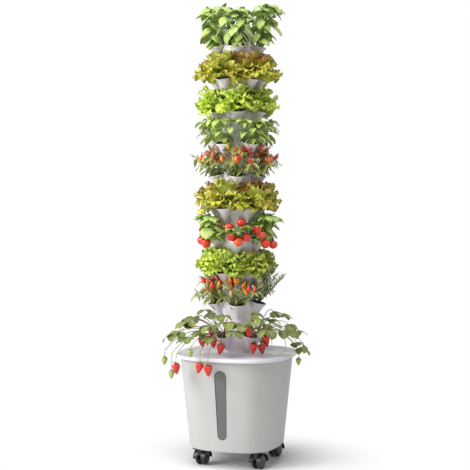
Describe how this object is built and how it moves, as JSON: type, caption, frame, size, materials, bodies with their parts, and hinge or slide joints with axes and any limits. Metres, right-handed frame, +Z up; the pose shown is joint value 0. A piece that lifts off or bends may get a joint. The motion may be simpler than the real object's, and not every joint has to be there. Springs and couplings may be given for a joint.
{
  "type": "vertical planter tower",
  "caption": "Rolling water tub with a lid that carries a tall stack of pocket tiers planted with herbs, salad, fruit and peppers.",
  "frame": {"origin": "on the floor under the middle of the tub and tower", "axes": "+Z up the tower, -Y towards the level window"},
  "size_m": [0.523, 0.523, 1.5766],
  "materials": {
    "leaf_basil": "satin",
    "seal_dark": "matte",
    "steel": "brushed",
    "caster_black": "satin",
    "shell_white": "glossy",
    "lid_white": "satin",
    "leaf_herb": "satin",
    "leaf_bright": "satin",
    "leaf_red": "satin",
    "window_smoke": "glossy",
    "medium_brown": "matte",
    "net_dark": "matte",
    "leaf_pepper": "satin",
    "pipe_white": "satin",
    "pump_dark": "satin",
    "tub_grey": "satin",
    "leaf_rosemary": "satin",
    "fruit_red": "glossy",
    "leaf_strawberry": "satin",
    "leaf_tomato": "satin"
  },
  "bodies": {
    "reservoir": {"reservoir_tub": "tub_grey", "level_window": "window_smoke", "window_gasket": "seal_dark", "cable_grommet": "seal_dark", "pump_body": "pump_dark", "pump_feet": "seal_dark", "caster_mount_1": "steel", "caster_mount_2": "steel", "caster_mount_3": "steel", "caster_mount_4": "steel", "caster_screws": "steel"},
    "tower": {"lid": "lid_white", "filler_collar": "lid_white", "hatch_pin": "steel", "pipe_lower": "pipe_white", "pipe_coupler": "pipe_white", "pipe_upper": "pipe_white", "net_cups": "net_dark", "medium_plugs": "medium_brown", "tier_01": "shell_white", "tier_02": "shell_white", "tier_03": "shell_white", "tier_04": "shell_white", "tier_05": "shell_white", "tier_06": "shell_white", "tier_07": "shell_white", "tier_08": "shell_white", "tier_09": "shell_white", "tier_10": "shell_white", "basil_top": "leaf_basil", "basil_side": "leaf_basil", "lettuce_red_upper": "leaf_red", "lettuce_red_lower": "leaf_red", "lettuce_green_upper": "leaf_bright", "lettuce_green_lower": "leaf_bright", "herb_upper": "leaf_herb", "pepper_upper": "leaf_pepper", "pepper_lower": "leaf_pepper", "tomato_vines": "leaf_tomato", "rosemary": "leaf_rosemary", "strawberry_plants": "leaf_strawberry", "strawberry_fruits": "fruit_red", "distributor": "shell_white"},
    "hatch": {"filler_hatch": "lid_white"},
    "cap": {"top_cap": "shell_white"},
    "swivel_1": {"caster_hood_1": "caster_black"},
    "wheels_1": {"caster_wheels_1": "caster_black", "caster_axle_1": "steel"},
    "swivel_2": {"caster_hood_2": "caster_black"},
    "wheels_2": {"caster_wheels_2": "caster_black", "caster_axle_2": "steel"},
    "swivel_3": {"caster_hood_3": "caster_black"},
    "wheels_3": {"caster_wheels_3": "caster_black", "caster_axle_3": "steel"},
    "swivel_4": {"caster_hood_4": "caster_black"},
    "wheels_4": {"caster_wheels_4": "caster_black", "caster_axle_4": "steel"}
  },
  "joints": [
    {"name": "tower_lift", "type": "slide", "parent": "reservoir", "child": "tower", "axis": [0, 0, 1], "range_m": [0, 0.15]},
    {"name": "cap_lift", "type": "slide", "parent": "tower", "child": "cap", "axis": [0, 0, 1], "range_m": [0, 0.04]},
    {"name": "hatch_hinge", "type": "hinge", "parent": "tower", "child": "hatch", "pos_m": [-0.13661, 0.13661, 0.3883], "axis": [-0.7071, -0.7071, 0], "range_deg": [0, 100]},
    {"name": "swivel_1", "type": "hinge", "parent": "reservoir", "child": "swivel_1", "pos_m": [-0.10076, -0.10076, 0.048], "axis": [0, 0, 1], "continuous": true},
    {"name": "wheel_spin_1", "type": "hinge", "parent": "swivel_1", "child": "wheels_1", "pos_m": [-0.0984, -0.08393, 0.025], "axis": [0.9903, -0.1392, 0], "continuous": true},
    {"name": "swivel_2", "type": "hinge", "parent": "reservoir", "child": "swivel_2", "pos_m": [0.10076, -0.10076, 0.048], "axis": [0, 0, 1], "continuous": true},
    {"name": "wheel_spin_2", "type": "hinge", "parent": "swivel_2", "child": "wheels_2", "pos_m": [0.1043, -0.08414, 0.025], "axis": [0.9781, -0.2079, 0], "continuous": true},
    {"name": "swivel_3", "type": "hinge", "parent": "reservoir", "child": "swivel_3", "pos_m": [0.10076, 0.10076, 0.048], "axis": [0, 0, 1], "continuous": true},
    {"name": "wheel_spin_3", "type": "hinge", "parent": "swivel_3", "child": "wheels_3", "pos_m": [0.10401, 0.11745, 0.025], "axis": [0.9816, -0.1908, 0], "continuous": true},
    {"name": "swivel_4", "type": "hinge", "parent": "reservoir", "child": "swivel_4", "pos_m": [-0.10076, 0.10076, 0.048], "axis": [0, 0, 1], "continuous": true},
    {"name": "wheel_spin_4", "type": "hinge", "parent": "swivel_4", "child": "wheels_4", "pos_m": [-0.09928, 0.1177, 0.025], "axis": [0.9962, -0.0872, 0], "continuous": true}
  ]
}
